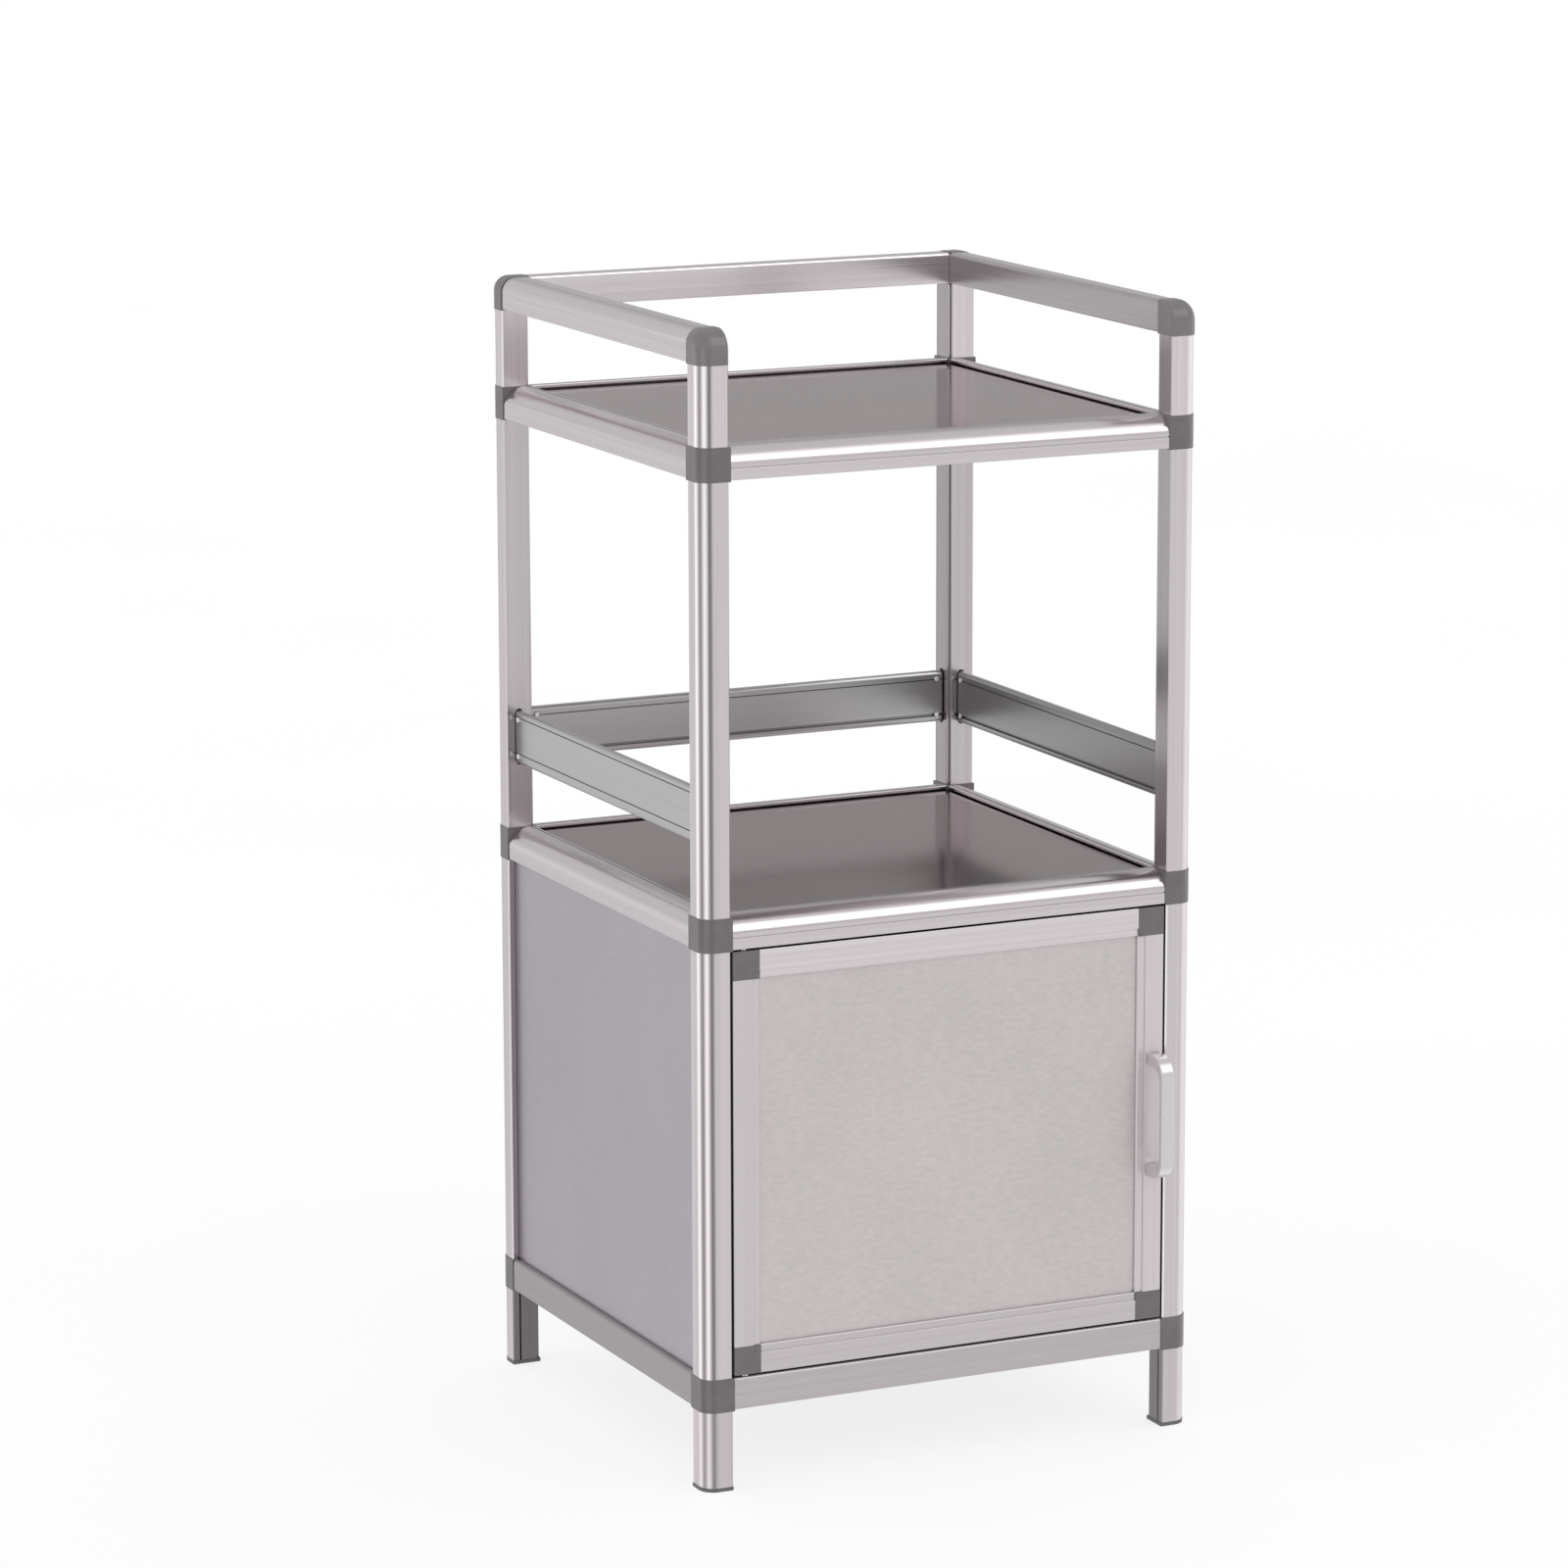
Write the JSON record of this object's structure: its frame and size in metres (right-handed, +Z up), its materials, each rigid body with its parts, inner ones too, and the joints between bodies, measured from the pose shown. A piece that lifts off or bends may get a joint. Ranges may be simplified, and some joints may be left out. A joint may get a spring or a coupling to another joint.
{
  "type": "kitchen cabinet",
  "caption": "Free-standing metal kitchen cabinet with a hinged door below, an open shelf with guard boards and a railed top tray, on legs.",
  "frame": {"origin": "on the floor below the middle of the overall box", "axes": "+Z up, the door faces -Y, +X to the right of someone facing the door"},
  "size_m": [0.4516, 0.4568, 0.9585],
  "materials": {
    "profile_aluminium": "satin anodised extrusion with fine drawing lines",
    "steel_sheet": "brushed stainless sheet",
    "joint_plastic": "grey moulded plastic with a slight sheen",
    "dark_plastic": "dark grey moulded plastic",
    "handle_metal": "smooth silver lacquer",
    "steel_fittings": "zinc-plated steel",
    "catch_plastic": "white moulded plastic"
  },
  "bodies": {
    "cabinet": {"back_panel": "steel_sheet", "base_joints": "joint_plastic", "base_rail_back": "profile_aluminium", "base_rail_front": "profile_aluminium", "base_rail_left": "profile_aluminium", "base_rail_right": "profile_aluminium", "cabinet_floor": "steel_sheet", "door_catch": "catch_plastic", "door_pivot_pins": "steel_fittings", "foot_caps": "dark_plastic", "guard_board_back": "profile_aluminium", "guard_board_left": "profile_aluminium", "guard_board_plugs": "dark_plastic", "guard_board_right": "profile_aluminium", "guard_board_rivets": "steel_fittings", "legs": "profile_aluminium", "lower_post_back_left": "profile_aluminium", "lower_post_back_right": "profile_aluminium", "lower_post_front_left": "profile_aluminium", "lower_post_front_right": "profile_aluminium", "lower_shelf": "steel_sheet", "lower_shelf_joint_back_left": "joint_plastic", "lower_shelf_joint_back_right": "joint_plastic", "lower_shelf_joint_front_left": "joint_plastic", "lower_shelf_joint_front_right": "joint_plastic", "lower_shelf_rail_back": "profile_aluminium", "lower_shelf_rail_front": "profile_aluminium", "lower_shelf_rail_left": "profile_aluminium", "lower_shelf_rail_right": "profile_aluminium", "side_panel_left": "steel_sheet", "side_panel_right": "steel_sheet", "top_back_joints": "joint_plastic", "top_front_joints": "joint_plastic", "top_posts": "profile_aluminium", "top_rail_back": "profile_aluminium", "top_rail_left": "profile_aluminium", "top_rail_right": "profile_aluminium", "upper_post_back_left": "profile_aluminium", "upper_post_back_right": "profile_aluminium", "upper_post_front_left": "profile_aluminium", "upper_post_front_right": "profile_aluminium", "upper_shelf": "steel_sheet", "upper_shelf_joint_back_left": "joint_plastic", "upper_shelf_joint_back_right": "joint_plastic", "upper_shelf_joint_front_left": "joint_plastic", "upper_shelf_joint_front_right": "joint_plastic", "upper_shelf_rail_back": "profile_aluminium", "upper_shelf_rail_front": "profile_aluminium", "upper_shelf_rail_left": "profile_aluminium", "upper_shelf_rail_right": "profile_aluminium"},
    "door": {"door_hinge_stile": "profile_aluminium", "door_top_rail": "profile_aluminium", "door_handle_stile": "profile_aluminium", "door_bottom_rail": "profile_aluminium", "door_corner_blocks": "joint_plastic", "door_panel": "steel_sheet", "door_handle": "handle_metal", "handle_screws": "steel_fittings", "door_strike": "steel_fittings"}
  },
  "joints": [
    {"name": "door_hinge", "type": "hinge", "parent": "cabinet", "child": "door", "pos_m": [-0.1874, -0.1974, 0.2745], "axis": [0, 0, -1], "range_deg": [0, 120]}
  ]
}
